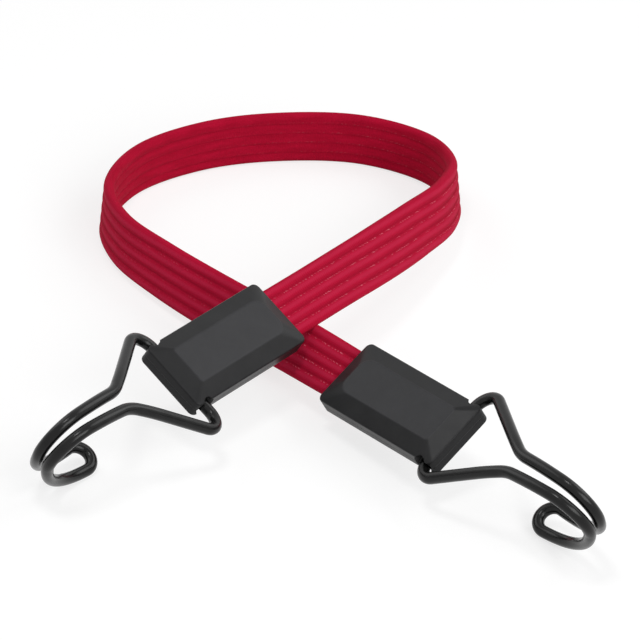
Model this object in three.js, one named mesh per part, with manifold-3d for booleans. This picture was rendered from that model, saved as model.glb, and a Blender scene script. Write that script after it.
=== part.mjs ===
// A flat bungee cord, lying as a loop with its two ends crossed, in millimetres with +Z up.
// The origin is on the floor, below the middle of the two caps and their hooks.
// An elastic strap of five round ribs ends in a moulded two-part cap at each end. A steel crimp
// inside the cap holds the strap, and a hook bent from one wire turns in two bores of the cap.
import * as THREE from "three";
import { ConvexGeometry } from "three/addons/geometries/ConvexGeometry.js";
import { mergeVertices } from "three/addons/utils/BufferGeometryUtils.js";
import Module from "manifold-3d";

const wasm = await Module();
wasm.setup();

// The gap that neighbouring pieces keep.
const CLEARANCE = 0.3;

// Strap: round ribs side by side in one woven cover, each with a strand of rubber in it.
const RIB_COUNT = 5;
const RIB_PITCH = 3.6;
const COVER_WALL = 0.5;
const STRAP_WIDTH = RIB_COUNT * RIB_PITCH;
const STRAP_THICKNESS = RIB_PITCH;
const STRAND_BORE = RIB_PITCH - 2 * COVER_WALL;
const STRAND_DIAMETER = STRAND_BORE - 2 * CLEARANCE;
const STRAND_SIDES = 6;
const EDGE_SIDES = 5;
const FREE_STEPS = 46;

// Centre of the strap from the left cap's mouth round the loop to the right cap's mouth.
const ROUTE_POINTS = [
	[ -17.5, 46.0, 24.7 ],
	[ -2.3, 67.4, 26.0 ],
	[ 11.0, 91.8, 23.9 ],
	[ 22.6, 116.9, 20.7 ],
	[ 31.9, 141.2, 17.0 ],
	[ 34.0, 166.6, 12.7 ],
	[ 23.8, 188.0, 9.6 ],
	[ 1.3, 196.7, 9.0 ],
	[ -25.7, 191.9, 9.0 ],
	[ -49.4, 180.0, 9.0 ],
	[ -69.0, 159.7, 9.0 ],
	[ -76.6, 133.9, 9.2 ],
	[ -70.2, 110.0, 10.2 ],
	[ -54.4, 89.9, 11.2 ],
	[ -33.8, 70.1, 11.7 ],
	[ -12.8, 49.1, 14.1 ],
	[ 5.3, 29.7, 16.0 ],
];

// How far the strap leans at each of those points from standing on its edge, in degrees.
const ROUTE_LEANS = [ -62, -62, -51, -35, -21, -8, -1, 0, 0, 0, 0, -1, -7, -18, -31, -45, -57 ];

// Cap: a pillow shape with a raised flat on each broad face, parted along its middle.
const CAP_LENGTH = 51;
const CAP_WIDTH = 24;
const CAP_HEIGHT = 10.4;
const CAP_EDGE_HEIGHT = 5.6;
const CAP_CORNER_RADIUS = 2.5;
const CAP_CORNER_STEPS = 4;
const FLAT_SETBACK = 5.5;
const FLAT_WIDTH = 13;
const FLAT_CORNER_RADIUS = 3;

// Strap's hold inside the cap.
const STRAP_TAIL = 20;
const CRIMP_SHEET = 0.8;
const CRIMP_LENGTH = 13;
const CRIMP_TOOTH_COUNT = 4;
const CRIMP_TOOTH_HEIGHT = 0.2;

// Pegs that line up the cap's two halves.
const PEG_DIAMETER = 3;
const PEG_HEIGHT = 1.6;
const PEG_SPACING = 11;
const PEG_FROM_MOUTH = 32;
const PEG_SIDES = 16;

// Hook: one wire whose two ends turn in the cap's sides. Each side runs out of the cap, round an
// elbow, in to the neck, closer still to the waist, and out again round half of the eye.
const WIRE_DIAMETER = 3.7;
const WIRE_SIDES = 10;
const WIRE_STEP = 1.8;
const WIRE_END_DEPTH = 7;
const PIVOT_SETBACK = 4.2;
const PIVOT_CLEARANCE = 0.5;
const SOCKET_DIAMETER = 6.4;
const SOCKET_DEPTH = 3;
const BORE_SIDES = 20;
const ELBOW_RADIUS = 5.5;
const NECK_DISTANCE = 34.2;
const NECK_RADIUS = 13.3;
const NECK_SPACING = 6.5;
const WAIST_SPACING = 4.2;
const EYE_RADIUS = 4.25;

// The wire's curves, seen from the side: the long shank, the hook itself and the gentler return.
const SHANK_START = 23.5;
const SHANK_RADIUS = 72.6;
const SHANK_ANGLE = 22.3;
const HOOK_RADIUS = 10.7;
const HOOK_ANGLE = 106.6;
const RETURN_RADIUS = 25.9;
const RETURN_ANGLE = 73.3;

// How far each hook is swung up from its cap's middle plane and how far its wire sits askew in the
// loose bores, rolled about the cap's length, in degrees.
const LEFT_POSE = { swing: 20.4, roll: 0 };
const RIGHT_POSE = { swing: 16.6, roll: 2 };

// How far the elbows stand out from the cap's sides at +Y and at -Y. The wires aren't bent alike.
const LEFT_ELBOWS = [ 11.8, 8 ];
const RIGHT_ELBOWS = [ 7.9, 5.8 ];

const UP = new THREE.Vector3( 0, 0, 1 );

const degrees = THREE.MathUtils.degToRad;

// A path given by its stations, so that bends get closer stations than straight runs. Each station
// has its point, its tangent and the two directions across it.
class StationPath extends THREE.Curve {

	constructor( stations ) {

		super();
		this.stations = stations;

	}

	getPoint( share, target = new THREE.Vector3() ) {

		const place = share * ( this.stations.length - 1 );
		const low = Math.min( Math.floor( place ), this.stations.length - 2 );
		return target.lerpVectors( this.stations[ low ].point, this.stations[ low + 1 ].point, place - low );

	}

	getSpacedPoints() {

		return this.stations.map( ( station ) => station.point );

	}

	computeFrenetFrames() {

		return {
			tangents: this.stations.map( ( station ) => station.tangent ),
			normals: this.stations.map( ( station ) => station.normal ),
			binormals: this.stations.map( ( station ) => station.binormal ),
		};

	}

}

// Sweeps a flat section along the stations. The section's x follows the normals.
function sweep( section, stations ) {

	const settings = { steps: stations.length - 1, extrudePath: new StationPath( stations ) };
	return new THREE.ExtrudeGeometry( section, settings );

}

// A regular polygon round ( x, y ), as a shape or as a hole.
function polygon( Kind, x, y, diameter, sides ) {

	const outline = new Kind();
	outline.setFromPoints( Array.from( { length: sides }, ( _, i ) => {

		const turn = 2 * Math.PI * i / sides;
		return new THREE.Vector2( x + diameter / 2 * Math.cos( turn ), y + diameter / 2 * Math.sin( turn ) );

	} ) );
	return outline;

}

function solid( geometry ) {

	const bare = geometry.clone();
	bare.deleteAttribute( "normal" );
	bare.deleteAttribute( "uv" );
	const merged = mergeVertices( bare );
	const mesh = new wasm.Mesh( {
		numProp: 3,
		vertProperties: merged.attributes.position.array,
		triVerts: new Uint32Array( merged.index.array ),
	} );
	return new wasm.Manifold( mesh );

}

function geometryOf( body ) {

	const mesh = body.getMesh();
	const geometry = new THREE.BufferGeometry();
	geometry.setAttribute( "position", new THREE.BufferAttribute( mesh.vertProperties, 3 ) );
	geometry.setIndex( new THREE.BufferAttribute( mesh.triVerts, 1 ) );
	geometry.computeVertexNormals();
	return geometry;

}

// A block between two corners.
function block( from, to ) {

	const size = new THREE.Vector3().subVectors( to, from );
	const middle = new THREE.Vector3().addVectors( from, to ).multiplyScalar( 0.5 );
	return new THREE.BoxGeometry( size.x, size.y, size.z ).translate( middle.x, middle.y, middle.z );

}

const paints = {
	webbing: () => new THREE.MeshStandardMaterial( { color: 0x9c1230, roughness: 0.85, metalness: 0 } ),
	rubber: () => new THREE.MeshStandardMaterial( { color: 0xd8cdb4, roughness: 0.9, metalness: 0 } ),
	cap: () => new THREE.MeshStandardMaterial( { color: 0x3c3c3e, roughness: 0.55, metalness: 0 } ),
	wire: () => new THREE.MeshStandardMaterial( { color: 0x151515, roughness: 0.3, metalness: 0.2 } ),
	crimp: () => new THREE.MeshStandardMaterial( { color: 0xa4a6a8, roughness: 0.4, metalness: 0.9 } ),
};

function piece( name, geometry, paint ) {

	const mesh = new THREE.Mesh( geometry, paint );
	mesh.name = name;
	return mesh;

}

// Stations of the strap. The normal runs across the strap's width and the binormal through it.
// Beyond each mouth the strap runs straight on into its cap.
function strapStations() {

	const points = ROUTE_POINTS.map( ( at ) => new THREE.Vector3( ...at ) );
	const centre = new THREE.CatmullRomCurve3( points, false, "catmullrom" );
	const leans = new THREE.CatmullRomCurve3(
		ROUTE_LEANS.map( ( lean ) => new THREE.Vector3( lean, 0, 0 ) ), false, "catmullrom" );
	const stations = [];
	for ( let i = 0; i <= FREE_STEPS; i ++ ) {

		const share = centre.getUtoTmapping( i / FREE_STEPS );
		const tangent = centre.getTangent( share );
		const upright = UP.clone().addScaledVector( tangent, - tangent.dot( UP ) ).normalize();
		const level = new THREE.Vector3().crossVectors( tangent, upright );
		const lean = degrees( leans.getPoint( share ).x );
		const normal = upright.multiplyScalar( Math.cos( lean ) ).addScaledVector( level, Math.sin( lean ) );
		const binormal = new THREE.Vector3().crossVectors( tangent, normal );
		stations.push( { point: centre.getPoint( share ), tangent, normal, binormal } );

	}

	const first = stations[ 0 ];
	const last = stations[ FREE_STEPS ];
	const along = ( station, distance ) => ( {
		...station, point: station.point.clone().addScaledVector( station.tangent, distance ),
	} );
	stations.unshift( along( first, - STRAP_TAIL ) );
	stations.push( along( last, STRAP_TAIL ) );
	return { stations, first, last };

}

// Position of each rib's centre across the strap.
function ribOffsets() {

	return Array.from( { length: RIB_COUNT }, ( _, i ) => ( i - ( RIB_COUNT - 1 ) / 2 ) * RIB_PITCH );

}

// Cover's section: flat faces, half-round edges, and one bore for each strand.
function coverSection() {

	const radius = STRAP_THICKNESS / 2;
	const centre = STRAP_WIDTH / 2 - radius;
	const points = [];
	for ( const side of [ 1, - 1 ] ) {

		for ( let i = 0; i <= EDGE_SIDES; i ++ ) {

			const turn = ( i / EDGE_SIDES - 1 / 2 ) * Math.PI;
			points.push( new THREE.Vector2(
				side * ( centre + radius * Math.cos( turn ) ), side * radius * Math.sin( turn ) ) );

		}

	}

	const section = new THREE.Shape( points );
	section.holes = ribOffsets().map( ( x ) => polygon( THREE.Path, x, 0, STRAND_BORE, STRAND_SIDES ) );
	return section;

}

function strap( stations ) {

	const group = new THREE.Group();
	group.add( piece( "strap_cover", sweep( coverSection(), stations ), paints.webbing() ) );
	ribOffsets().forEach( ( x, i ) => {

		const section = polygon( THREE.Shape, x, 0, STRAND_DIAMETER, STRAND_SIDES );
		group.add( piece( `rubber_core_${ i + 1 }`, sweep( section, stations ), paints.rubber() ) );

	} );
	return group;

}

// A rectangle with rounded corners at one height of the cap, from the mouth at x = 0.
function capOutline( setback, width, radius, height ) {

	const points = [];
	for ( let corner = 0; corner < 4; corner ++ ) {

		const front = corner === 0 || corner === 3;
		const side = corner < 2 ? 1 : - 1;
		const x = front ? CAP_LENGTH - setback - radius : setback + radius;
		const y = side * ( width / 2 - radius );
		for ( let i = 0; i <= CAP_CORNER_STEPS; i ++ ) {

			const turn = ( corner + i / CAP_CORNER_STEPS ) * Math.PI / 2;
			points.push( new THREE.Vector3(
				x + radius * Math.cos( turn ), y + radius * Math.sin( turn ), height ) );

		}

	}

	return points;

}

function capBody() {

	const points = [];
	for ( const side of [ 1, - 1 ] ) {

		points.push( ...capOutline( 0, CAP_WIDTH, CAP_CORNER_RADIUS, side * CAP_EDGE_HEIGHT / 2 ) );
		points.push( ...capOutline( FLAT_SETBACK, FLAT_WIDTH, FLAT_CORNER_RADIUS, side * CAP_HEIGHT / 2 ) );

	}

	return solid( new ConvexGeometry( points ) );

}

// Room for the strap and its crimp, from the mouth inwards.
function strapRoom() {

	const crimpEnd = STRAP_TAIL + CLEARANCE + CRIMP_SHEET;
	const slotHalf = new THREE.Vector2( STRAP_WIDTH, STRAP_THICKNESS ).multiplyScalar( 0.5 ).addScalar( CLEARANCE );
	const pocketTop = slotHalf.y + CRIMP_SHEET + CLEARANCE;
	const slot = block(
		new THREE.Vector3( - CLEARANCE, - slotHalf.x, - slotHalf.y ),
		new THREE.Vector3( crimpEnd, slotHalf.x, slotHalf.y ) );
	const pocket = block(
		new THREE.Vector3( crimpEnd - CRIMP_LENGTH - CLEARANCE, - slotHalf.x, - pocketTop ),
		new THREE.Vector3( crimpEnd + CLEARANCE, slotHalf.x, pocketTop ) );
	return solid( slot ).add( solid( pocket ) );

}

// A round bar from one side plane of the cap to another, for the wire's bores.
function crossBar( diameter, from, to, sides ) {

	const bar = new THREE.CylinderGeometry( diameter / 2, diameter / 2, to - from, sides );
	return solid( bar.translate( CAP_LENGTH - PIVOT_SETBACK, ( from + to ) / 2, 0 ) );

}

// Both bores for the wire's ends. Each is closed at its inner end and has a wider mouth, in which
// the wire starts its elbow.
function wireBores() {

	const outer = CAP_WIDTH / 2 + CLEARANCE;
	const cuts = [
		{ diameter: WIRE_DIAMETER + 2 * PIVOT_CLEARANCE, inner: CAP_WIDTH / 2 - WIRE_END_DEPTH - CLEARANCE },
		{ diameter: SOCKET_DIAMETER, inner: CAP_WIDTH / 2 - SOCKET_DEPTH },
	];
	const bars = cuts.flatMap( ( { diameter, inner } ) => [
		crossBar( diameter, inner, outer, BORE_SIDES ),
		crossBar( diameter, - outer, - inner, BORE_SIDES ),
	] );
	return bars.reduce( ( whole, bar ) => whole.add( bar ) );

}

function pegs( diameter, from, to ) {

	const rods = [ 1, - 1 ].map( ( side ) => {

		const rod = new THREE.CylinderGeometry( diameter / 2, diameter / 2, to - from, PEG_SIDES );
		rod.rotateX( Math.PI / 2 );
		return solid( rod.translate( PEG_FROM_MOUTH, side * PEG_SPACING / 2, ( from + to ) / 2 ) );

	} );
	return rods[ 0 ].add( rods[ 1 ] );

}

// The two halves of a cap. They meet at its middle plane, and the lower one carries the pegs.
function capShells( side ) {

	const hollow = capBody().subtract( strapRoom() ).subtract( wireBores() );
	const reach = new THREE.Vector3( CAP_LENGTH, CAP_WIDTH, CAP_HEIGHT );
	const seam = CLEARANCE / 2;
	const above = solid( block( new THREE.Vector3( - reach.x, - reach.y, seam ), reach.clone().multiplyScalar( 2 ) ) );
	const below = solid( block(
		new THREE.Vector3( - reach.x, - reach.y, - reach.z ),
		new THREE.Vector3( 2 * reach.x, 2 * reach.y, - seam ) ) );
	const sockets = pegs( PEG_DIAMETER + 2 * CLEARANCE, 0, PEG_HEIGHT + CLEARANCE );
	const upper = hollow.intersect( above ).subtract( sockets );
	const lower = hollow.intersect( below ).add( pegs( PEG_DIAMETER, - PEG_HEIGHT, PEG_HEIGHT ) );
	return [
		piece( `${ side }_cap_upper_shell`, geometryOf( upper ), paints.cap() ),
		piece( `${ side }_cap_lower_shell`, geometryOf( lower ), paints.cap() ),
	];

}

// The clip folded over the strap's end, with rows of teeth closed on both faces of the strap.
function crimp( side ) {

	const inner = STRAP_THICKNESS / 2 + CLEARANCE;
	const outer = inner + CRIMP_SHEET;
	const end = STRAP_TAIL + CLEARANCE + CRIMP_SHEET;
	const start = end - CRIMP_LENGTH;
	const pitch = ( CRIMP_LENGTH - 2 * CRIMP_SHEET ) / CRIMP_TOOTH_COUNT;
	const jaw = [];
	for ( let i = 0; i < CRIMP_TOOTH_COUNT; i ++ ) {

		jaw.push( new THREE.Vector2( start + pitch * i, inner ) );
		jaw.push( new THREE.Vector2( start + pitch * ( i + 1 / 2 ), inner - CRIMP_TOOTH_HEIGHT ) );

	}

	jaw.push( new THREE.Vector2( start + pitch * CRIMP_TOOTH_COUNT, inner ) );
	jaw.push( new THREE.Vector2( end - CRIMP_SHEET, inner ) );
	const mirrored = jaw.map( ( { x, y } ) => new THREE.Vector2( x, - y ) ).reverse();
	const profile = new THREE.Shape( [
		new THREE.Vector2( start, - outer ),
		new THREE.Vector2( end, - outer ),
		new THREE.Vector2( end, outer ),
		new THREE.Vector2( start, outer ),
		...jaw,
		...mirrored,
	] );
	const folded = new THREE.ExtrudeGeometry( profile, { depth: STRAP_WIDTH, bevelEnabled: false } );
	folded.rotateX( Math.PI / 2 );
	folded.translate( 0, STRAP_WIDTH / 2, 0 );
	return piece( `${ side }_strap_crimp`, folded, paints.crimp() );

}

// Rounds a flat path's corner: a line up to an arc that touches both legs.
function roundCorner( path, before, corner, after, radius ) {

	const back = before.clone().sub( corner ).normalize();
	const on = after.clone().sub( corner ).normalize();
	const half = Math.acos( back.dot( on ) ) / 2;
	const middle = back.clone().add( on ).normalize();
	const centre = corner.clone().addScaledVector( middle, radius / Math.sin( half ) );
	const reach = radius / Math.tan( half );
	const from = corner.clone().addScaledVector( back, reach ).sub( centre );
	const to = corner.clone().addScaledVector( on, reach ).sub( centre );
	path.lineTo( centre.x + from.x, centre.y + from.y );
	path.absarc( centre.x, centre.y, radius, from.angle(), to.angle(), from.cross( to ) < 0 );

}

// Half of the wire before it is curved, from its end in the cap to the middle of the eye. The
// pivot is at the origin, x runs along the hook and y out to the side.
function flatWire( elbowReach ) {

	const hookEnd = SHANK_START + SHANK_RADIUS * degrees( SHANK_ANGLE ) + HOOK_RADIUS * degrees( HOOK_ANGLE );
	const start = new THREE.Vector2( 0, CAP_WIDTH / 2 - WIRE_END_DEPTH );
	const elbow = new THREE.Vector2( 0, CAP_WIDTH / 2 + elbowReach );
	const neck = new THREE.Vector2( NECK_DISTANCE, NECK_SPACING / 2 );
	const waist = new THREE.Vector2( hookEnd, WAIST_SPACING / 2 );
	const eye = new THREE.Vector2( hookEnd + RETURN_RADIUS * degrees( RETURN_ANGLE ), 0 );
	const toEye = eye.clone().sub( waist );
	const heading = Math.atan2( toEye.y, toEye.x ) + Math.asin( EYE_RADIUS / toEye.length() );
	const touch = new THREE.Vector2( EYE_RADIUS, 0 ).rotateAround( new THREE.Vector2(), heading + Math.PI / 2 );

	const path = new THREE.Path();
	path.moveTo( start.x, start.y );
	roundCorner( path, start, elbow, neck, ELBOW_RADIUS );
	roundCorner( path, elbow, neck, waist, NECK_RADIUS );
	roundCorner( path, neck, waist, touch.clone().add( eye ), NECK_RADIUS );
	path.absarc( eye.x, eye.y, EYE_RADIUS, touch.angle(), 0, true );
	return path.getSpacedPoints( Math.round( path.getLength() / WIRE_STEP ) );

}

// Where a point of the flat wire ends up once the wire is curved downwards.
function curved( { x, y } ) {

	const curves = [
		{ radius: SHANK_RADIUS, angle: SHANK_ANGLE },
		{ radius: HOOK_RADIUS, angle: HOOK_ANGLE },
		{ radius: RETURN_RADIUS, angle: RETURN_ANGLE },
	];
	const place = new THREE.Vector3( Math.min( x, SHANK_START ), y, 0 );
	let rest = Math.max( x - SHANK_START, 0 );
	let heading = 0;
	for ( const { radius, angle } of curves ) {

		const turn = Math.min( rest / radius, degrees( angle ) );
		place.x += radius * ( Math.sin( heading + turn ) - Math.sin( heading ) );
		place.z -= radius * ( Math.cos( heading ) - Math.cos( heading + turn ) );
		heading += turn;
		rest -= radius * turn;

	}

	place.x += rest * Math.cos( heading );
	place.z -= rest * Math.sin( heading );
	return place;

}

// Stations along a line of points, with the section carried along without twist.
function carriedStations( points ) {

	const stations = [];
	let normal = UP.clone();
	points.forEach( ( point, i ) => {

		const before = points[ Math.max( i - 1, 0 ) ];
		const after = points[ Math.min( i + 1, points.length - 1 ) ];
		const arriving = point.clone().sub( before ).normalize();
		const leaving = after.clone().sub( point ).normalize();
		const tangent = arriving.add( leaving ).normalize();
		normal = normal.clone().addScaledVector( tangent, - normal.dot( tangent ) ).normalize();
		const binormal = new THREE.Vector3().crossVectors( tangent, normal );
		stations.push( { point, tangent, normal, binormal } );

	} );
	return stations;

}

function hook( side, elbows ) {

	const [ half, otherHalf ] = elbows.map( ( reach ) => flatWire( reach ).map( curved ) );
	const mirrored = otherHalf.map( ( { x, y, z } ) => new THREE.Vector3( x, - y, z ) ).reverse();
	const centre = [ ...half.slice( 0, - 1 ), ...mirrored ];
	const section = polygon( THREE.Shape, 0, 0, WIRE_DIAMETER, WIRE_SIDES );
	return piece( `${ side }_hook`, sweep( section, carriedStations( centre ) ), paints.wire() );

}

// One end of the cord: the group's origin is the middle of the cap's mouth, +X leads out along the
// cap and +Z through its upper flat. The hook's own group turns about the wire's ends.
function end( side, station, outward, pose, elbows ) {

	const forward = station.tangent.clone().multiplyScalar( outward );
	const upward = station.binormal;
	const sideways = new THREE.Vector3().crossVectors( upward, forward );
	const group = new THREE.Group();
	group.position.copy( station.point );
	group.quaternion.setFromRotationMatrix( new THREE.Matrix4().makeBasis( forward, sideways, upward ) );
	const seat = new THREE.Group();
	seat.position.x = CAP_LENGTH - PIVOT_SETBACK;
	seat.rotation.x = degrees( pose.roll );
	const swivel = new THREE.Group();
	swivel.rotation.y = - degrees( pose.swing );
	swivel.add( hook( side, elbows ) );
	seat.add( swivel );
	group.add( ...capShells( side ), crimp( side ), seat );
	return group;

}

const bungee = new THREE.Group();
const { stations, first, last } = strapStations();
bungee.add( strap( stations ) );
bungee.add( end( "left", first, - 1, LEFT_POSE, LEFT_ELBOWS ) );
bungee.add( end( "right", last, 1, RIGHT_POSE, RIGHT_ELBOWS ) );

export default bungee;
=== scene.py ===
"""Looks of a flat bungee cord: ribbed elastic strap, two moulded caps and two twin-wire hooks.

Every length is in metres. The frame's caps, wires and strap set the places, and each piece here is
a surface worked out from the same sizes.
"""

import math

import bpy
import numpy as np
from bpy.props import FloatProperty, FloatVectorProperty, IntProperty, PointerProperty
from mathutils import Matrix, Vector


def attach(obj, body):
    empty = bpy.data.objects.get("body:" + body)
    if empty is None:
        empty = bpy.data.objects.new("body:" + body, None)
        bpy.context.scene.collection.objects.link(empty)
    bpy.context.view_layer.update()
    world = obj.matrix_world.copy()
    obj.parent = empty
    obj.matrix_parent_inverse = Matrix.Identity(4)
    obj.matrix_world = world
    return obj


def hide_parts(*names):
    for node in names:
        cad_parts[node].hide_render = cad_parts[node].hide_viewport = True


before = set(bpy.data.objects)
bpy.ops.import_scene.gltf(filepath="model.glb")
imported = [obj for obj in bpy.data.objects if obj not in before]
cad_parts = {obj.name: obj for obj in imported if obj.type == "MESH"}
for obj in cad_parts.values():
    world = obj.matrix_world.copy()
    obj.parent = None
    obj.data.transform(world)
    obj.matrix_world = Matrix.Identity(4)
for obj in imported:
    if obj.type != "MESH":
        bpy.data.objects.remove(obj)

bl_info = {
    "name": "Flat bungee cord",
    "version": (1, 0, 0),
    "blender": (4, 5, 0),
    "location": "View3D > Sidebar > Bungee",
    "description": "Builds a ribbed elastic strap with moulded caps and twin-wire hooks",
    "category": "Add Mesh",
}

# Centre of the strap from the left cap's mouth to the right cap's mouth, and its lean in degrees.
ROUTE = np.array([
    (-0.0175, 0.0460, 0.0247, -62),
    (-0.0023, 0.0674, 0.0260, -62),
    (0.0110, 0.0918, 0.0239, -51),
    (0.0226, 0.1169, 0.0207, -35),
    (0.0319, 0.1412, 0.0170, -21),
    (0.0340, 0.1666, 0.0127, -8),
    (0.0238, 0.1880, 0.0096, -1),
    (0.0013, 0.1967, 0.0090, 0),
    (-0.0257, 0.1919, 0.0090, 0),
    (-0.0494, 0.1800, 0.0090, 0),
    (-0.0690, 0.1597, 0.0090, 0),
    (-0.0766, 0.1339, 0.0092, -1),
    (-0.0702, 0.1100, 0.0102, -7),
    (-0.0544, 0.0899, 0.0112, -18),
    (-0.0338, 0.0701, 0.0117, -31),
    (-0.0128, 0.0491, 0.0141, -45),
    (0.0053, 0.0297, 0.0160, -57),
])

# How finely the surfaces are sampled.
ROUTE_SAMPLES = 6400                # along the strap's route, to measure it
RIB_POINTS = 14                     # from one rib's centre to the next
EDGE_POINTS = 8                     # round a quarter of the strap's edge
CORNER_POINTS = 9                   # round each corner of a cap's outline
SIDE_POINTS = (60, 200, 60, 200)    # along the cap's front, sides and mouth
CHAMFER_POINTS = 25                 # down a cap's chamfer
WALL_POINTS = 15                    # down a cap's upright wall
SOFT_POINTS = (5, 7)                # over a cap's softened edges, above and below the chamfer
BEND_POINTS = 60                    # round each bend of the flat wire
EYE_POINTS = 90                     # round the wire's eye
WIRE_SIDES = 28                     # round the wire
WIRE_STEP = 0.0004                  # between the wire's rings
WIRE_END = 0.8                      # size of its end rings, as a share of the others

# Each lamp's place, the point that it is aimed at, and its width and height. Its power is a setting.
LAMPS = {
    "key": ((0.75, -0.85, 0.7), (0.0, 0.08, 0), (1.0, 0.7)),
    "right": ((0.70, 0.40, 0.75), (0.0, 0.04, 0), (0.6, 0.7)),
    "left": ((-0.75, 0.36, 0.68), (0.0, 0.02, 0), (0.6, 0.7)),
    "glint": ((-0.22, -0.26, 1.0), (0.03, -0.02, 0), (0.22, 0.22)),
}


def length(name, value, description):
    """A length setting, stored in metres."""
    return FloatProperty(name=name, description=description, default=value, min=0, precision=5,
                         subtype="DISTANCE", unit="LENGTH")


def angle(name, value, description):
    """An angle setting, given here in degrees and stored in radians."""
    return FloatProperty(name=name, description=description, default=math.radians(value),
                         subtype="ANGLE", unit="ROTATION")


def share(name, value, description):
    """A share from 0 for none to 1 for all."""
    return FloatProperty(name=name, description=description, default=value, min=0, max=1,
                         subtype="FACTOR")


def power(name, value, description):
    """A lamp's power in watts."""
    return FloatProperty(name=name, description=description, default=value, min=0, unit="POWER")


def colour(red, green, blue):
    """A screen colour from 0 to 255, as a linear colour."""
    levels = np.array([red, green, blue]) / 255
    linear = np.where(levels <= 0.04045, levels / 12.92, ((levels + 0.055) / 1.055) ** 2.4)
    return (*linear.tolist(), 1.0)


def shade(name, levels, description):
    """A colour setting, given here as a screen colour from 0 to 255 and stored linear."""
    return FloatVectorProperty(name=name, description=description, default=colour(*levels), size=4,
                               min=0, max=1, subtype="COLOR")


class StrapSettings(bpy.types.PropertyGroup):
    """Sizes and colours of the elastic strap."""

    ribs: IntProperty(name="Ribs", description="Round ribs side by side", default=5, min=1)
    pitch: length("Rib pitch", 0.0036, "Width and height of one rib")
    groove: length("Groove", 0.0027, "Strap thickness at the grooves of the loop's outer face")
    inner_groove: length("Inner groove", 0.0030, "Strap thickness at the grooves of its inner face")
    fullness: share("Fullness", 0.8, "How pointed a rib is, from 0 for flat to 1 for a cosine")
    tail: length("Tail", 0.020, "Straight run of the strap inside each cap")
    step: length("Step", 0.0012, "Spacing of the rings along the strap")
    dark: shade("Dark cover", (156, 2, 36), "Darker patches of the woven cover")
    pale: shade("Pale cover", (172, 6, 44), "Paler patches of the woven cover")
    thread: shade("Threads", (190, 24, 60), "Single threads of the cover")
    # Painted light: a paler tint laid on the loop's outer face, standing in for the light that face catches.
    outside: shade("Outer face", (184, 18, 56), "Tint of the loop's outer face")
    # Painted highlight: the colour laid on the rib tops of the outer face.
    ridge_highlight: shade("Ridges", (196, 44, 78), "Tops of the ribs on the outer face")
    # Painted shade: the dark colour laid into the grooves between the ribs.
    groove_shade: shade("Grooves", (112, 0, 20), "Bottom of the grooves")
    # Stitch specks: partly pale threads, partly painted glints of the threads.
    stitch: shade("Stitches", (230, 130, 150), "Stitch specks beside the grooves")


class CapSettings(bpy.types.PropertyGroup):
    """Sizes and colours of the moulded caps and the crimps in them."""

    length: length("Length", 0.051, "From the mouth to the front end")
    width: length("Width", 0.024, "Across the cap")
    height: length("Height", 0.0104, "Over both raised flats")
    edge: length("Edge height", 0.0056, "Height of the upright side wall")
    corner: length("Corner radius", 0.0019, "Radius of the outline's corners")
    setback: length("Flat setback", 0.0055, "From each end to the raised flat")
    flat_width: length("Flat width", 0.013, "Width of the raised flat")
    flat_rear: length("Rear flat corner", 0.0042, "Corner radius of the flat near the mouth")
    flat_front: length("Front flat corner", 0.001, "Corner radius of the flat near the hook")
    rounding: length("Rounding", 0.0006, "Radius that softens the moulded edges")
    seam: length("Seam", 0.00006, "Gap between the two halves")
    socket: length("Socket", 0.0064, "Diameter of the wide mouth of each wire bore")
    socket_depth: length("Socket depth", 0.003, "Depth of that mouth in the cap's side")
    pivot: length("Pivot setback", 0.0042, "From the cap's front end to the wire's ends")
    slot_play: length("Slot play", 0.0003, "Gap round the strap in the mouth")
    recess: length("Recess", 0.0022, "Depth shown in the strap's mouth")
    blend: length("Blend", 0.00025, "Width over which the sockets and the mouth sink in")
    chamfer_dark: shade("Dark chamfer", (31, 31, 32), "Darker patches of chamfers and walls")
    chamfer_pale: shade("Pale chamfer", (36, 36, 37), "Paler patches of chamfers and walls")
    # Painted light: the raised flats are paler than the chamfers, standing in for the overhead light they
    # catch.
    flat_lit_dark: shade("Dark flat", (41, 41, 43), "Darker patches of the raised flats")
    flat_lit_pale: shade("Pale flat", (47, 47, 49), "Paler patches of the raised flats")
    steel: shade("Crimp", (168, 170, 172), "Pressed steel of the crimps")


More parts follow.
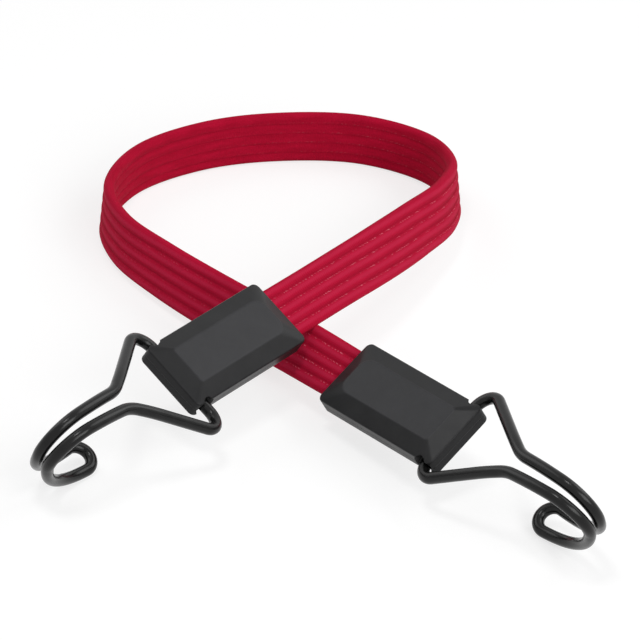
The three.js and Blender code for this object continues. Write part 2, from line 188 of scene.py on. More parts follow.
class HookSettings(bpy.types.PropertyGroup):
    """Sizes and colours of the bent wire hooks."""

    wire: length("Wire", 0.0037, "Diameter of the coated wire")
    end_depth: length("End depth", 0.007, "Run of each wire end inside the cap")
    elbow: length("Elbow radius", 0.0055, "Bend radius beside the cap")
    neck_at: length("Neck distance", 0.0342, "From the pivot to the neck's corner")
    neck: length("Neck radius", 0.0133, "Bend radius where the legs come together")
    neck_spacing: length("Neck spacing", 0.0065, "Between the legs' centres at the neck's corners")
    waist_spacing: length("Waist spacing", 0.0042, "Between the legs' centres at the end of the hook")
    eye: length("Eye radius", 0.00425, "Radius of the wire's rounded end")
    shank_start: length("Shank start", 0.0235, "From the pivot to the start of the long gentle bend")
    shank: length("Shank radius", 0.0726, "Radius of the long gentle bend")
    shank_angle: angle("Shank angle", 22.3, "Turn of the long gentle bend")
    bend: length("Bend radius", 0.0107, "Radius of the hook itself")
    bend_angle: angle("Bend angle", 106.6, "Turn of the hook itself")
    back: length("Return radius", 0.0259, "Radius of the gentler bend back towards the cap")
    back_angle: angle("Return angle", 73.3, "Turn of the gentler bend back towards the cap")
    left_swing: angle("Left swing", 20.4, "How far the left hook is swung up")
    right_swing: angle("Right swing", 16.6, "How far the right hook is swung up")
    left_roll: angle("Left roll", 0, "How far the left wire sits askew in its bores")
    right_roll: angle("Right roll", 2, "How far the right wire sits askew in its bores")
    left_far: length("Left far elbow", 0.0118, "Reach of the left hook's elbow at the right")
    left_near: length("Left near elbow", 0.0080, "Reach of the left hook's elbow at the left")
    right_far: length("Right far elbow", 0.0079, "Reach of the right hook's elbow at the back")
    right_near: length("Right near elbow", 0.0058, "Reach of the right hook's elbow at the front")
    coat_dark: shade("Dark coating", (12, 12, 12), "Darker patches of the wire's coating")
    coat_pale: shade("Pale coating", (20, 20, 20), "Paler patches of the wire's coating")


class StageSettings(bpy.types.PropertyGroup):
    """Camera, lamps, floor and sky."""

    aim: FloatVectorProperty(name="Aim", description="Point that the camera looks at",
                             default=(-0.0045, 0.0891, 0), precision=4, subtype="TRANSLATION", unit="LENGTH")
    distance: length("Camera distance", 1.4, "From the camera to the middle of the picture")
    elevation: angle("Elevation", 30, "How far the camera looks down")
    roll: angle("Roll", 6, "How far the camera is turned about its own view")
    lens: FloatProperty(name="Lens", description="Focal length in millimetres", default=250.03,
                        subtype="DISTANCE_CAMERA", unit="CAMERA")
    key: power("Key lamp", 9.5, "Power of the large lamp at the right of the camera")
    right: power("Right lamp", 3.0, "Power of the soft lamp at the right, behind the cord")
    left: power("Left lamp", 1.9, "Power of the soft lamp at the left, behind the cord")
    glint: power("Glint lamp", 2.2, "Power of the small lamp overhead")
    sky: share("Sky", 0.3, "Brightness of the light from all round")
    floor_reach: length("Floor reach", 3.0, "From the middle of the floor to its edges")
    floor_white: share("Floor", 0.8, "Share of the light that the floor returns to the object")
    floor_seen: share("Floor as seen", 0.34, "Share of the light that the floor shows to the camera")
    floor_lift: share("Floor lift", 0.70, "White added to the floor where it is looked at")


def spline(points, at):
    """Uniform cardinal spline with tension one half. Between points 1 and 2 the curve is the cubic
    whose slopes are half the chord of the neighbours on each side; past the ends the neighbour is
    the end point reflected. Returns values and slopes at the given places, counted in points."""
    padded = np.vstack([2 * points[0] - points[1], points, 2 * points[-1] - points[-2]])
    low = np.clip(np.floor(at).astype(int), 0, len(points) - 2)
    w = (at - low)[:, None]
    a, b, c, d = (padded[low + i] for i in range(4))
    start, stop = (c - a) / 2, (d - b) / 2
    two, three = -3 * b + 3 * c - 2 * start - stop, 2 * b - 2 * c + start + stop
    return b + start * w + two * w**2 + three * w**3, start + 2 * two * w + 3 * three * w**2


def unit(vectors):
    """Rows scaled to length one."""
    return vectors / np.linalg.norm(vectors, axis=-1, keepdims=True)


def strap_frames(step, tail):
    """Even stations along the strap: point, tangent, direction across its width, direction through
    it, and distance along from the left mouth. The width direction is the upright direction square
    to the tangent, turned about the tangent by the lean. Each tail runs straight on."""
    fine = np.linspace(0, len(ROUTE) - 1, ROUTE_SAMPLES)
    points, _ = spline(ROUTE[:, :3], fine)
    run = np.concatenate([[0], np.cumsum(np.linalg.norm(np.diff(points, axis=0), axis=1))])
    even = np.linspace(0, run[-1], int(round(run[-1] / step)) + 1)
    at = np.interp(even, run, fine)
    points, slopes = spline(ROUTE[:, :3], at)
    lean = np.radians(spline(ROUTE[:, 3:], at)[0])
    tangent = unit(slopes)
    upright = unit(np.array([0, 0, 1]) - tangent * tangent[:, 2:])
    across = upright * np.cos(lean) + np.cross(tangent, upright) * np.sin(lean)
    through = np.cross(tangent, across)
    extra = np.arange(1, int(round(tail / step)) + 1)[:, None] * step
    points = np.vstack([points[0] - tangent[0] * extra[::-1], points, points[-1] + tangent[-1] * extra])
    n = len(extra)
    frames = [np.vstack([np.repeat(v[:1], n, 0), v, np.repeat(v[-1:], n, 0)])
              for v in (tangent, across, through)]
    along = np.concatenate([-extra[::-1, 0], even, even[-1] + extra[:, 0]])
    return points, *frames, along


def carried(points):
    """Directions across a wire's centre line that turn no more than the line does: each is the one
    before, made square to the new tangent."""
    tangent = unit(np.gradient(points, axis=0))
    normal = np.empty_like(points)
    side = np.array([0.0, 0.0, 1.0])
    for i, t in enumerate(tangent):
        side = side - t * side.dot(t)
        side /= np.linalg.norm(side)
        normal[i] = side
    return normal, np.cross(tangent, normal)


def grid_mesh(name, rings, attributes=()):
    """A closed skin over rings of points, shaped (rings, points per ring, 3). Neighbouring rings are
    joined by quads and the two end rings are closed by one flat face each. Attributes are
    (name, values per point) pairs."""
    count, around = rings.shape[:2]
    mesh = bpy.data.meshes.new(name)
    ring = np.arange(count - 1)[:, None] * around
    here = np.arange(around)[None, :]
    nxt = np.roll(here, -1, axis=1)
    quads = np.stack([ring + here, ring + nxt, ring + around + nxt, ring + around + here], -1).reshape(-1)
    first = np.arange(around)[::-1]
    last = np.arange(around) + (count - 1) * around
    loops = np.concatenate([quads, first, last])
    starts = np.concatenate([np.arange((count - 1) * around) * 4, len(quads) + np.array([0, around])])
    mesh.vertices.add(count * around)
    mesh.vertices.foreach_set("co", rings.reshape(-1).astype(np.float32))
    mesh.loops.add(len(loops))
    mesh.loops.foreach_set("vertex_index", loops.astype(np.int32))
    mesh.polygons.add(len(starts))
    mesh.polygons.foreach_set("loop_start", starts.astype(np.int32))
    mesh.update(calc_edges=True)
    mesh.validate()
    mesh.shade_smooth()
    for label, values in attributes:
        layer = mesh.attributes.new(label, "FLOAT", "POINT")
        layer.data.foreach_set("value", np.ascontiguousarray(values, np.float32).reshape(-1))
    piece = bpy.data.objects.new(name, mesh)
    bpy.context.scene.collection.objects.link(piece)
    return piece


def cap_frame(side, strap):
    """Where a cap sits: the middle of its mouth, and its directions out along the cap, sideways
    and up through its raised flat."""
    points, tangent, _, through, _ = strap_frames(strap.step, 0)
    if side == "left":
        origin, forward, up = points[0], -tangent[0], through[0]
    else:
        origin, forward, up = points[-1], tangent[-1], through[-1]
    return origin, np.stack([forward, np.cross(up, forward), up])


def turned(points, origin, axes):
    """Points of a cap's own frame, in the frame that all pieces share."""
    return origin + points @ axes


def strap_section(strap):
    """The strap's outline, anticlockwise about the tangent, as (across, through). Over the inner
    ribs the half thickness is the groove's plus the rest times a power of the absolute cosine of
    the place across, once per rib; outside the last ribs' centres it is a half circle."""
    radius = strap.pitch / 2
    last = (strap.ribs - 1) / 2 * strap.pitch
    turn = np.linspace(0, np.pi / 2, EDGE_POINTS)
    inner = np.linspace(last, -last, (strap.ribs - 1) * RIB_POINTS + 1)
    wave = np.abs(np.cos(np.pi * (inner - last) / strap.pitch)) ** strap.fullness

    def face(groove):
        """One broad face, from one edge to the other."""
        return np.concatenate([
            np.stack([last + radius * np.cos(turn), radius * np.sin(turn)], -1)[:-1],
            np.stack([inner, groove / 2 + (radius - groove / 2) * wave], -1),
            np.stack([-last - radius * np.sin(turn), radius * np.cos(turn)], -1)[1:],
        ])

    return np.concatenate([face(strap.groove), (face(strap.inner_groove) * [1, -1])[::-1][1:-1]])


def build_strap(strap):
    """The strap's skin: its section carried along the stations."""
    points, _, across, through, along = strap_frames(strap.step, strap.tail)
    section = strap_section(strap)
    rings = (points[:, None] + section[None, :, :1] * across[:, None]
             + section[None, :, 1:] * through[:, None])
    shape = rings.shape[:2]
    attributes = [
        ("along", np.broadcast_to(along[:, None] * 1000, shape)),
        ("across", np.broadcast_to(section[None, :, 0] * 1000, shape)),
        ("face", np.broadcast_to(np.sign(section[None, :, 1]), shape)),
    ]
    skin = grid_mesh("elastic_strap", rings, attributes)
    return skin, points


def rounded_outline(x0, x1, half, rear, front, counts):
    """A rectangle from x0 to x1 and half to each side with rounded corners, as points anticlockwise
    from the front's first corner. Straight runs and quarter circles are laid end to end, each with a
    fixed number of points, so that two outlines pair up point by point."""
    stretches = []
    turn = np.linspace(0, np.pi / 2, CORNER_POINTS)
    corners = [(x1 - front, half - front, front, 0), (x0 + rear, half - rear, rear, 1),
               (x0 + rear, -half + rear, rear, 2), (x1 - front, -half + front, front, 3)]
    for x, y, radius, quarter in corners:
        a = turn + quarter * np.pi / 2
        stretches.append(np.stack([x + radius * np.cos(a), y + radius * np.sin(a)], -1))
    lines = []
    for i, arc in enumerate(stretches):
        before = stretches[i - 1][-1]
        w = np.linspace(0, 1, counts[i] + 1)[1:-1, None]
        lines.append(before * (1 - w) + arc[0] * w)
        lines.append(arc)
    return np.concatenate(lines)


def soft_step(x):
    """0 below 0, 1 above 1, and smooth between."""
    x = np.clip(x, 0, 1)
    return x * x * (3 - 2 * x)


def cap_profile(cap):
    """Profile of one cap half from the raised flat to the seam, as (share of the way from the
    flat's outline to the cap's outline, height). The two edges are softened by circular arcs, and
    two rings inside the first arc keep the flat even."""
    rise = (cap.height - cap.edge) / 2
    slope = math.atan2(rise, cap.setback)
    top, edge, seam = cap.height / 2, cap.edge / 2, cap.seam / 2
    r = cap.rounding
    cut = r * math.tan(slope / 2)
    a = np.linspace(0, slope, SOFT_POINTS[0])
    first = np.stack([-cut + r * np.sin(a), top - r * (1 - np.cos(a))], -1)
    cut = r * math.tan((np.pi / 2 - slope) / 2)
    a = np.linspace(slope, np.pi / 2, SOFT_POINTS[1])
    start = np.array([cap.setback - cut * math.cos(slope), edge + cut * math.sin(slope)])
    arc = np.stack([np.sin(a) - math.sin(slope), np.cos(a) - math.cos(slope)], -1)
    second = start + r * arc
    w = np.linspace(0, 1, CHAMFER_POINTS)[1:-1, None]
    chamfer = first[-1] * (1 - w) + second[0] * w
    w = np.linspace(0, 1, WALL_POINTS)[1:, None]
    wall = second[-1] * (1 - w) + np.array([cap.setback, seam]) * w
    inner = np.array([[-cut - 2 * r, top], [-cut - 2 * r / 3, top]])
    profile = np.concatenate([inner, first, chamfer, second, wall])
    profile[:, 0] /= cap.setback
    return profile


def build_cap_half(side, half, cap, strap):
    """One half of a cap. Every point lies between the flat's outline and the cap's outline by the
    profile's share. Points that fall within a socket's circle move in to the socket's floor, and
    points of the mouth's wall that fall within the strap's slot move forwards by the recess."""
    outer = rounded_outline(0, cap.length, cap.width / 2, cap.corner, cap.corner, SIDE_POINTS)
    inner = rounded_outline(cap.setback, cap.length - cap.setback, cap.flat_width / 2,
                            cap.flat_rear, cap.flat_front, SIDE_POINTS)
    profile = cap_profile(cap)
    w = profile[:, 0][:, None, None]
    plan = inner[None] * (1 - w) + outer[None] * w
    height = np.broadcast_to(profile[:, 1][:, None, None], plan.shape[:2] + (1,))
    points = np.concatenate([plan, height], -1)
    x, y, z = np.moveaxis(points, -1, 0)
    inside = cap.socket / 2 - np.hypot(x - (cap.length - cap.pivot), z)
    above_floor = np.maximum(np.abs(y) - (cap.width / 2 - cap.socket_depth), 0)
    y = y - np.sign(y) * soft_step(inside / cap.blend + 0.5) * above_floor
    slot_y = strap.ribs * strap.pitch / 2 + cap.slot_play - np.abs(y)
    slot_z = strap.pitch / 2 + cap.slot_play - z
    in_slot = soft_step(np.minimum(slot_y, slot_z) / cap.blend + 0.5) * (x < cap.corner)
    x = x + in_slot * cap.recess
    sign = 1 if half == "upper" else -1
    points = np.stack([x, y, z * sign], -1)
    if sign > 0:
        points = points[::-1]  # the rings' order decides which way the faces look: outwards
    placed = turned(points, *cap_frame(side, strap))
    return grid_mesh(f"{side}_cap_{half}_half", placed, [("height", points[..., 2] * 1000)])


def rounded_corner(before, corner, after, radius):
    """Points of the arc that rounds a flat path's corner and touches both of its legs. Its centre
    lies on the line that halves the corner, a radius from each leg."""
    back, onward = unit(before - corner), unit(after - corner)
    half = math.acos(back @ onward) / 2
    centre = corner + unit(back + onward) * radius / math.sin(half)
    first, last = (corner + leg * radius / math.tan(half) - centre for leg in (back, onward))
    start = math.atan2(first[1], first[0])
    sweep = math.remainder(math.atan2(last[1], last[0]) - start, 2 * math.pi)
    turn = start + np.linspace(0, sweep, BEND_POINTS)
    return centre + radius * np.stack([np.cos(turn), np.sin(turn)], -1)


def flat_wire(hook, cap, reach):
    """Half of the wire before it is curved, as even points from its end in the cap to the middle of
    the eye, with the pivot at the origin: out of the cap to the elbow, in to the neck, closer to
    the waist, and then along a line that touches the eye's circle, and round a part of it."""
    end = hook.shank_start + hook.shank * hook.shank_angle + hook.bend * hook.bend_angle
    start = np.array([0, cap.width / 2 - hook.end_depth])
    elbow = np.array([0, cap.width / 2 + reach])
    neck = np.array([hook.neck_at, hook.neck_spacing / 2])
    waist = np.array([end, hook.waist_spacing / 2])
    eye = np.array([end + hook.back * hook.back_angle, 0])
    across = eye - waist
    heading = math.atan2(across[1], across[0]) + math.asin(hook.eye / np.linalg.norm(across))
    turn = np.linspace(heading + math.pi / 2, 0, EYE_POINTS)
    around = eye + hook.eye * np.stack([np.cos(turn), np.sin(turn)], -1)
    line = np.concatenate([
        start[None],
        rounded_corner(start, elbow, neck, hook.elbow),
        rounded_corner(elbow, neck, waist, hook.neck),
        rounded_corner(neck, waist, around[0], hook.neck),
        around,
    ])
    done = np.concatenate([[0], np.cumsum(np.linalg.norm(np.diff(line, axis=0), axis=1))])
    even = np.linspace(0, done[-1], int(done[-1] / WIRE_STEP))
    return np.stack([np.interp(even, done, line[:, i]) for i in range(2)], -1)


def curved(hook, flat):
    """Where points of the flat wire end up once it is curved downwards: each bend takes up its
    share of the distance along, on a circle of its own radius, and the wire leaves it turned."""
    left = np.maximum(flat[:, 0] - hook.shank_start, 0)
    x, z, heading = np.minimum(flat[:, 0], hook.shank_start), 0, 0
    bends = ((hook.shank, hook.shank_angle), (hook.bend, hook.bend_angle),
             (hook.back, hook.back_angle))
    for radius, turn in bends:
        part = np.minimum(left / radius, turn)
        x = x + radius * (np.sin(heading + part) - np.sin(heading))
        z = z - radius * (np.cos(heading) - np.cos(heading + part))
        heading = heading + part
        left = left - radius * part
    x = x + left * np.cos(heading)
    z = z - left * np.sin(heading)
    return np.stack([x, flat[:, 1], z], -1)


def wire_line(hook, cap, reaches):
    """Centre line of the whole wire: one curved half, and the mirror image of another."""
    one, other = (curved(hook, flat_wire(hook, cap, reach)) for reach in reaches)
    return np.concatenate([one[:-1], (other * [1, -1, 1])[::-1]])


def build_hook(side, hook, cap, strap):
    """A round wire along its centre line: circles square to the line, the end ones a little smaller."""
    if side == "left":
        reaches, swing, roll = (hook.left_far, hook.left_near), hook.left_swing, hook.left_roll
    else:
        reaches, swing, roll = (hook.right_far, hook.right_near), hook.right_swing, hook.right_roll
    line = wire_line(hook, cap, reaches)
    swung = np.array(Matrix.Rotation(-swing, 3, "Y"))
    rolled = np.array(Matrix.Rotation(roll, 3, "X"))
    local = line @ (rolled @ swung).T + [cap.length - cap.pivot, 0, 0]
    centre = turned(local, *cap_frame(side, strap))
    normal, binormal = carried(centre)
    turn = np.linspace(0, 2 * np.pi, WIRE_SIDES, endpoint=False)[None, :, None]
    radius = np.full(len(centre), hook.wire / 2)
    radius[[0, -1]] *= WIRE_END
    ring = np.cos(turn) * normal[:, None] + np.sin(turn) * binormal[:, None]
    return grid_mesh(f"{side}_wire_hook", centre[:, None] + radius[:, None, None] * ring)


class Nodes:
    """Builds a material's nodes. Each method adds one node and returns the output that it makes, and
    takes a plain value or another node's output for each input."""

    def __init__(self, name):
        self.material = bpy.data.materials.new(name)
        self.material.use_nodes = True
        self.tree = self.material.node_tree
        self.shader = self.tree.nodes["Principled BSDF"]

    def add(self, kind, **settings):
        """A node of any kind with its settings."""
        node = self.tree.nodes.new(kind)
        for key, value in settings.items():
            setattr(node, key, value)
        return node

    def feed(self, socket, value):
        """Links an output to an input, or sets the input to a plain value."""
        if isinstance(value, bpy.types.NodeSocket):
            self.tree.links.new(value, socket)
        else:
            socket.default_value = value

    def math(self, operation, *values):
        """A sum, product or other operation on numbers."""
        node = self.add("ShaderNodeMath", operation=operation)
        for socket, value in zip(node.inputs, values):
            self.feed(socket, value)
        return node.outputs[0]

    def attribute(self, name):
        """A number that the piece's mesh holds for each point."""
        return self.add("ShaderNodeAttribute", attribute_name=name).outputs["Fac"]

    def place(self):
        """The point's place in metres."""
        return self.add("ShaderNodeTexCoord").outputs["Object"]

    def noise(self, vector, scale, detail=3.0, roughness=0.5):
        """Smooth noise, so many waves to each unit of the vector."""
        node = self.add("ShaderNodeTexNoise")
        self.feed(node.inputs["Vector"], vector)
        node.inputs["Scale"].default_value = scale
        node.inputs["Detail"].default_value = detail
        node.inputs["Roughness"].default_value = roughness
        return node.outputs["Fac"]

    def remap(self, value, low, high, out_low=0.0, out_high=1.0):
        """A value's way from low to high, as a way from out_low to out_high, held at both ends."""
        node = self.add("ShaderNodeMapRange", clamp=True)
        for socket, item in zip(node.inputs, (value, low, high, out_low, out_high)):
            self.feed(socket, item)
        return node.outputs["Result"]

    def mix(self, portion, first, second):
        """The first colour, with the second taking over by its portion."""
        node = self.add("ShaderNodeMix", data_type="RGBA")
        self.feed(node.inputs[0], portion)
        self.feed(node.inputs[6], first)
        self.feed(node.inputs[7], second)
        return node.outputs[2]

    def vector(self, x, y, z):
        """Three numbers as one vector."""
        node = self.add("ShaderNodeCombineXYZ")
        for socket, item in zip(node.inputs, (x, y, z)):
            self.feed(socket, item)
        return node.outputs[0]

    def bump(self, height, distance, strength, under=None):
        """Surface directions for a height pattern, laid over an earlier one if given."""
        node = self.add("ShaderNodeBump")
        node.inputs["Strength"].default_value = strength
        node.inputs["Distance"].default_value = distance
        self.feed(node.inputs["Height"], height)
        if under is not None:
            self.feed(node.inputs["Normal"], under)
        return node.outputs["Normal"]

    def surface(self, **values):
        """Sets the shader's inputs and returns the finished material."""
        for key, value in values.items():
            self.feed(self.shader.inputs[key.replace("_", " ")], value)
        return self.material


def webbing_material(strap):
    """Woven cover over the ribs: mottled red with paler threads, a paler tint painted on the outer face
    for the light it catches, painted highlights on the rib tops of the outer face, painted shade in
    the grooves, and rows of slanted stitch specks beside them, partly pale thread and partly painted
    glints. A groove's place is where the cosine of the place across, one half turn to each rib, is
    zero. Lengths are in millimetres."""
    m = Nodes("woven_cover")
    pitch = strap.pitch * 1000
    stitch_offset, stitch_pitch, stitch_edge = 0.62, 1.5, 1.1
    weave_pitch, warp_pitch = 0.85, 0.45
    along, across, face = m.attribute("along"), m.attribute("across"), m.attribute("face")
    outer = m.remap(face, -0.5, 0.5)

    crest = m.math("ABSOLUTE", m.math("COSINE", m.math("MULTIPLY", across, math.pi / pitch)))
    rim = m.math("GREATER_THAN", m.math("ABSOLUTE", across), pitch * (strap.ribs - 1) / 2)
    # Mask of the grooves, which carries the painted shade below.
    groove = m.remap(m.math("MAXIMUM", crest, rim), 0.0, 0.75, 1.0, 0.0)
    patch = m.noise(m.vector(m.math("MULTIPLY", along, 0.02), m.math("MULTIPLY", across, 0.12), face), 5, 3)
    thread = m.noise(m.vector(m.math("MULTIPLY", along, 1.4), m.math("MULTIPLY", across, 6.0), face), 1.2, 2)
    base = m.mix(m.remap(patch, 0.35, 0.65), tuple(strap.dark), tuple(strap.pale))
    base = m.mix(m.remap(thread, 0.3, 0.75, 0.0, 0.35), base, tuple(strap.thread))
    # Painted light: the outer face is tinted paler for the light that falls on it.
    base = m.mix(m.math("MULTIPLY", outer, 0.4), base, tuple(strap.outside))
    # Painted highlight on the crests of the outer face's ribs, where the light catches them.
    top = m.math("MULTIPLY", m.remap(crest, 0.7, 1.0, 0.0, 0.4), outer)
    base = m.mix(top, base, tuple(strap.ridge_highlight))
    # Painted shade in the grooves, a little stronger on the outer face.
    depth = m.math("MULTIPLY", groove, m.remap(outer, 0.0, 1.0, 0.2, 0.36))
    base = m.mix(depth, base, tuple(strap.groove_shade))

    wander = m.noise(m.vector(m.math("MULTIPLY", along, 0.3), across, face), 1.0, 3)
    shifted = m.math("ADD", across, m.math("MULTIPLY", face, stitch_offset))
    row = m.math("FRACT", m.math("ADD", m.math("DIVIDE", shifted, pitch), 100.5))
    row = m.math("MINIMUM", row, m.math("SUBTRACT", 1.0, row))
    row = m.remap(row, 0.03, 0.08, 1.0, 0.0)
    slant = m.math("ADD", m.math("DIVIDE", along, stitch_pitch), m.math("MULTIPLY", across, 0.8))
    slant = m.math("ADD", slant, m.math("MULTIPLY", wander, 3.0))
    dash = m.remap(m.math("SINE", m.math("MULTIPLY", slant, 2 * math.pi)), 0.0, 0.4)
    inside = m.math("LESS_THAN", m.math("ABSOLUTE", across), pitch * strap.ribs / 2 - stitch_edge)
    patchy = m.math("MULTIPLY", inside, m.remap(wander, 0.44, 0.66))
    speck = m.math("MULTIPLY", m.math("MULTIPLY", row, dash), patchy)
    # The specks are stronger on the outer face, partly as painted glints where the light falls.
    shown = m.math("MULTIPLY", speck, m.remap(outer, 0.0, 1.0, 0.22, 0.5))
    # The specks fade to a fifth from 170 to 240 mm along the strap and return to full past 400 mm.
    speck_fade = m.math("ADD", m.remap(along, 170.0, 240.0, 1.0, 0.2), m.remap(along, 385.0, 400.0, 0.0, 0.8))
    base = m.mix(m.math("MULTIPLY", shown, speck_fade), base, tuple(strap.stitch))

    chevron = m.math("ABSOLUTE", m.math("SINE", m.math("MULTIPLY", across, math.pi / pitch * 2)))
    phase = m.math("ADD", m.math("MULTIPLY", along, 2 * math.pi / weave_pitch),
                   m.math("MULTIPLY", chevron, 2.6))
    warp = m.math("SINE", m.math("MULTIPLY", across, 2 * math.pi / warp_pitch))
    height = m.math("ADD", m.math("MULTIPLY", m.math("SINE", phase), 0.5), m.math("MULTIPLY", warp, 0.35))
    height = m.math("ADD", height, m.math("MULTIPLY", speck, 0.8))
    normal = m.bump(m.noise(m.place(), 2600, 2), 0.00006, 0.5)
    normal = m.bump(height, 0.00006, 0.7, normal)
    return m.surface(Base_Color=base, Roughness=0.85, Normal=normal, Sheen_Weight=0.04,
                     Sheen_Roughness=0.5, Sheen_Tint=colour(255, 120, 140), Specular_IOR_Level=0.08)


def cap_material(cap):
    """Soft matte moulding with a fine grain and faint flow marks, and painted light on the raised
    flats, which are made paler than the chamfers and walls for the overhead light they catch. The
    flats are told by their height in millimetres."""
    m = Nodes("moulded_cap")
    place = m.place()
    grain = m.noise(place, 3800, 2)
    flow = m.noise(place, 110, 4, 0.6)
    patch = m.remap(flow, 0.35, 0.65)
    top = cap.height * 500
    # Mask of the raised flats, which get the paler painted-light colours.
    flat = m.remap(m.math("ABSOLUTE", m.attribute("height")), top - 0.2, top - 0.04)
    base = m.mix(flat, m.mix(patch, tuple(cap.chamfer_dark), tuple(cap.chamfer_pale)),
                 m.mix(patch, tuple(cap.flat_lit_dark), tuple(cap.flat_lit_pale)))
    rough = m.remap(flow, 0.3, 0.7, 0.34, 0.42)
    normal = m.bump(grain, 0.00004, 0.35)
    normal = m.bump(flow, 0.00012, 0.25, normal)
    return m.surface(Base_Color=base, Roughness=rough, Normal=normal, Specular_IOR_Level=0.15)


def wire_material(hook):
    """Semi-gloss black coating over the steel wire, slightly uneven."""
    m = Nodes("coated_wire")
    place = m.place()
    flow = m.noise(place, 260, 3)
    grain = m.noise(place, 2600, 2)
    base = m.mix(m.remap(flow, 0.35, 0.7), tuple(hook.coat_dark), tuple(hook.coat_pale))
    rough = m.remap(flow, 0.3, 0.7, 0.17, 0.27)
    normal = m.bump(grain, 0.00003, 0.25)
    normal = m.bump(flow, 0.0001, 0.3, normal)
    return m.surface(Base_Color=base, Roughness=rough, Normal=normal, Specular_IOR_Level=0.24)


def crimp_material(cap):
    """Plain pressed steel with fine scratches."""
    m = Nodes("pressed_steel")
    stretch = m.add("ShaderNodeMapping")
    m.feed(stretch.inputs["Vector"], m.place())
    stretch.inputs["Scale"].default_value = (300, 2500, 300)
    scratch = m.noise(stretch.outputs[0], 1.0, 3)
    rough = m.remap(scratch, 0.3, 0.7, 0.3, 0.45)
    return m.surface(Base_Color=tuple(cap.steel), Metallic=1.0, Roughness=rough,
                     Normal=m.bump(scratch, 0.00003, 0.3))


def looked_at(tree):
    """1 for rays that look at a surface, from the camera, off something glossy or through something
    clear, and 0 for rays that gather the light that falls on the object."""
    rays = tree.nodes.new("ShaderNodeLightPath")
    looking = rays.outputs["Is Camera Ray"]
    for kind in ("Is Glossy Ray", "Is Transmission Ray"):
        either = tree.nodes.new("ShaderNodeMath")
        either.operation = "MAXIMUM"
        tree.links.new(looking, either.inputs[0])
        tree.links.new(rays.outputs[kind], either.inputs[1])
        looking = either.outputs[0]
    return looking


def floor_material(stage):
    """Plain pale floor with the faintest grain. It only returns the lamps' light to the object, and
    is lifted to white, with its shadows kept, where it is looked at."""
    m = Nodes("pale_floor")
    looking = looked_at(m.tree)
    dark, pale = ((stage.floor_white + step,) * 3 + (1,) for step in (-0.01, 0.01))
    base = m.mix(m.noise(m.place(), 40, 3), dark, pale)
    base = m.mix(looking, base, (stage.floor_seen,) * 3 + (1,))
    return m.surface(Base_Color=base, Roughness=0.9, Specular_IOR_Level=0.0, Emission_Color=(1, 1, 1, 1),
                     Emission_Strength=m.math("MULTIPLY", looking, stage.floor_lift))


def place_camera(scene, stage):
    """The camera looks along +Y and down by its elevation at its aim, turned about its own view by
    its roll."""
    look = np.array([0, math.cos(stage.elevation), -math.sin(stage.elevation)])
    rise = np.array([0, math.sin(stage.elevation), math.cos(stage.elevation)])
    side = np.array([1, 0, 0])
    right = side * math.cos(stage.roll) + rise * math.sin(stage.roll)
    up = rise * math.cos(stage.roll) - side * math.sin(stage.roll)
    camera = bpy.data.objects.new("camera", bpy.data.cameras.new("camera"))
    scene.collection.objects.link(camera)
    place = Matrix(np.stack([right, up, -look], -1).tolist()).to_4x4()
    place.translation = Vector(np.array(stage.aim) - look * stage.distance)
    camera.matrix_world = place
    camera.data.sensor_width = 36
    camera.data.lens = stage.lens
    camera.data.clip_start = 0.05
    camera.data.clip_end = 20
    scene.camera = camera


def lay_floor(scene, stage):
    """A square floor through the origin."""
    mesh = bpy.data.meshes.new("floor")
    reach = stage.floor_reach
    corners = [(-reach, -reach, 0), (reach, -reach, 0), (reach, reach, 0), (-reach, reach, 0)]
    mesh.from_pydata(corners, [], [(0, 1, 2, 3)])
    mesh.materials.append(floor_material(stage))
    floor = bpy.data.objects.new("floor", mesh)
    scene.collection.objects.link(floor)
    return floor


def hang_lamps(scene, stage):
    """The rectangular lamps, each turned to face its aim."""
    lamps = []
    for name, (place, aim, size) in LAMPS.items():
        light = bpy.data.lights.new(f"{name}_lamp", "AREA")
        light.shape = "RECTANGLE"
        light.size, light.size_y = size
        light.energy = getattr(stage, name)
        lamp = bpy.data.objects.new(f"{name}_lamp", light)
        scene.collection.objects.link(lamp)
        lamp.location = place
        lamp.rotation_euler = (Vector(aim) - Vector(place)).to_track_quat("-Z", "Y").to_euler()
        lamps.append(lamp)
    return lamps


def open_sky(scene, stage):
    """Even light from all round, which is white where it is looked at."""
    world = bpy.data.worlds.new("studio")
    scene.world = world
    world.use_nodes = True
    tree = world.node_tree
    background = tree.nodes["Background"]
    strength = tree.nodes.new("ShaderNodeMix")
    tree.links.new(looked_at(tree), strength.inputs[0])
    strength.inputs[2].default_value = stage.sky
    strength.inputs[3].default_value = 1.0
    background.inputs["Color"].default_value = (1, 1, 1, 1)
    tree.links.new(strength.outputs[0], background.inputs["Strength"])


class BUNGEE_OT_stage(bpy.types.Operator):
    """Place the camera, the floor, the lamps and the sky"""

    bl_idname = "bungee.stage"
    bl_label = "Build stage"

    def execute(self, context):
        scene, stage = context.scene, context.scene.bungee_stage
        place_camera(scene, stage)
        lay_floor(scene, stage)
        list(hang_lamps(scene, stage))
        open_sky(scene, stage)
        scene.view_settings.view_transform = "Standard"
        return {"FINISHED"}


class BUNGEE_OT_strap(bpy.types.Operator):
    """Build the ribbed elastic strap"""

    bl_idname = "bungee.strap"
    bl_label = "Build strap"

    def execute(self, context):
        strap = context.scene.bungee_strap
        skin, centre = build_strap(strap)
        skin.data.materials.append(webbing_material(strap))
        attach(skin, "cord")
        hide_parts("strap_cover", *[f"rubber_core_{i + 1}" for i in range(strap.ribs)])
        return {"FINISHED"}


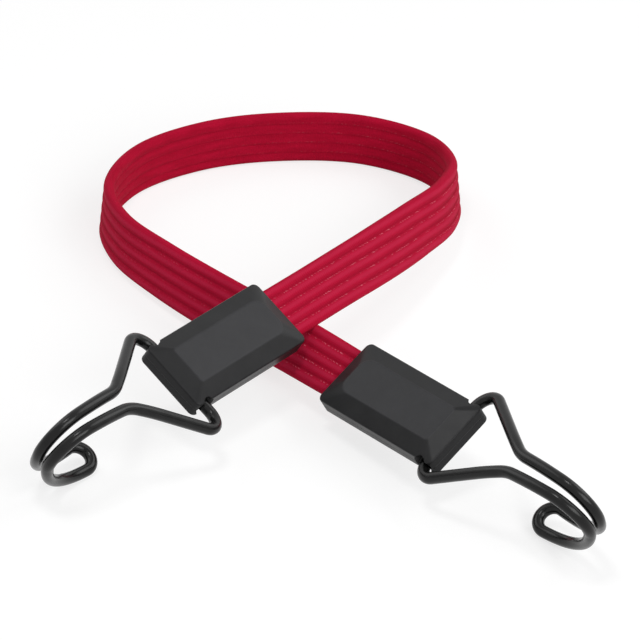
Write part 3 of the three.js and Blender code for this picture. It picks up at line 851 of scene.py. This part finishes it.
class BUNGEE_OT_caps(bpy.types.Operator):
    """Build both halves of both caps"""

    bl_idname = "bungee.caps"
    bl_label = "Build caps"

    def execute(self, context):
        scene = context.scene
        plastic = cap_material(scene.bungee_cap)
        for side in ("left", "right"):
            for half in ("upper", "lower"):
                piece = build_cap_half(side, half, scene.bungee_cap, scene.bungee_strap)
                piece.data.materials.append(plastic)
                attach(piece, "cord")
                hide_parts(f"{side}_cap_{half}_shell")
        return {"FINISHED"}


class BUNGEE_OT_hooks(bpy.types.Operator):
    """Build both wire hooks"""

    bl_idname = "bungee.hooks"
    bl_label = "Build hooks"

    def execute(self, context):
        scene = context.scene
        coating = wire_material(scene.bungee_hook)
        for side in ("left", "right"):
            piece = build_hook(side, scene.bungee_hook, scene.bungee_cap, scene.bungee_strap)
            piece.data.materials.append(coating)
            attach(piece, f"{side}_hook")
            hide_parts(f"{side}_hook")
        return {"FINISHED"}


class BUNGEE_OT_crimps(bpy.types.Operator):
    """Give the steel crimps inside the caps their finish"""

    bl_idname = "bungee.crimps"
    bl_label = "Finish crimps"

    def execute(self, context):
        steel = crimp_material(context.scene.bungee_cap)
        for side in ("left", "right"):
            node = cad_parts[f"{side}_strap_crimp"]
            node.data.materials.clear()
            node.data.materials.append(steel)
        return {"FINISHED"}


class BUNGEE_PT_panel(bpy.types.Panel):
    """Sizes of the cord and buttons that build it"""

    bl_idname = "BUNGEE_PT_panel"
    bl_label = "Bungee cord"
    bl_space_type = "VIEW_3D"
    bl_region_type = "UI"
    bl_category = "Bungee"

    def draw(self, context):
        for group, kind in SETTINGS.items():
            box = self.layout.box()
            box.label(text=kind.__doc__)
            for key in kind.__annotations__:
                box.prop(getattr(context.scene, group), key)
        for operator in OPERATORS:
            self.layout.operator(operator.bl_idname)


SETTINGS = {
    "bungee_strap": StrapSettings,
    "bungee_cap": CapSettings,
    "bungee_hook": HookSettings,
    "bungee_stage": StageSettings,
}
OPERATORS = (
    BUNGEE_OT_stage,
    BUNGEE_OT_strap,
    BUNGEE_OT_caps,
    BUNGEE_OT_hooks,
    BUNGEE_OT_crimps,
)


def register():
    """Registers the settings, the operators and the panel."""
    for group, kind in SETTINGS.items():
        bpy.utils.register_class(kind)
        setattr(bpy.types.Scene, group, PointerProperty(type=kind))
    for operator in OPERATORS:
        bpy.utils.register_class(operator)
    bpy.utils.register_class(BUNGEE_PT_panel)


def unregister():
    """Takes them away again."""
    bpy.utils.unregister_class(BUNGEE_PT_panel)
    for operator in reversed(OPERATORS):
        bpy.utils.unregister_class(operator)
    for group, kind in SETTINGS.items():
        delattr(bpy.types.Scene, group)
        bpy.utils.unregister_class(kind)


def main():
    """Builds everything in order."""
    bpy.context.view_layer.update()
    register()
    bpy.ops.bungee.stage()
    bpy.ops.bungee.strap()
    bpy.ops.bungee.caps()
    bpy.ops.bungee.hooks()
    bpy.ops.bungee.crimps()


if __name__ == "__main__":
    main()
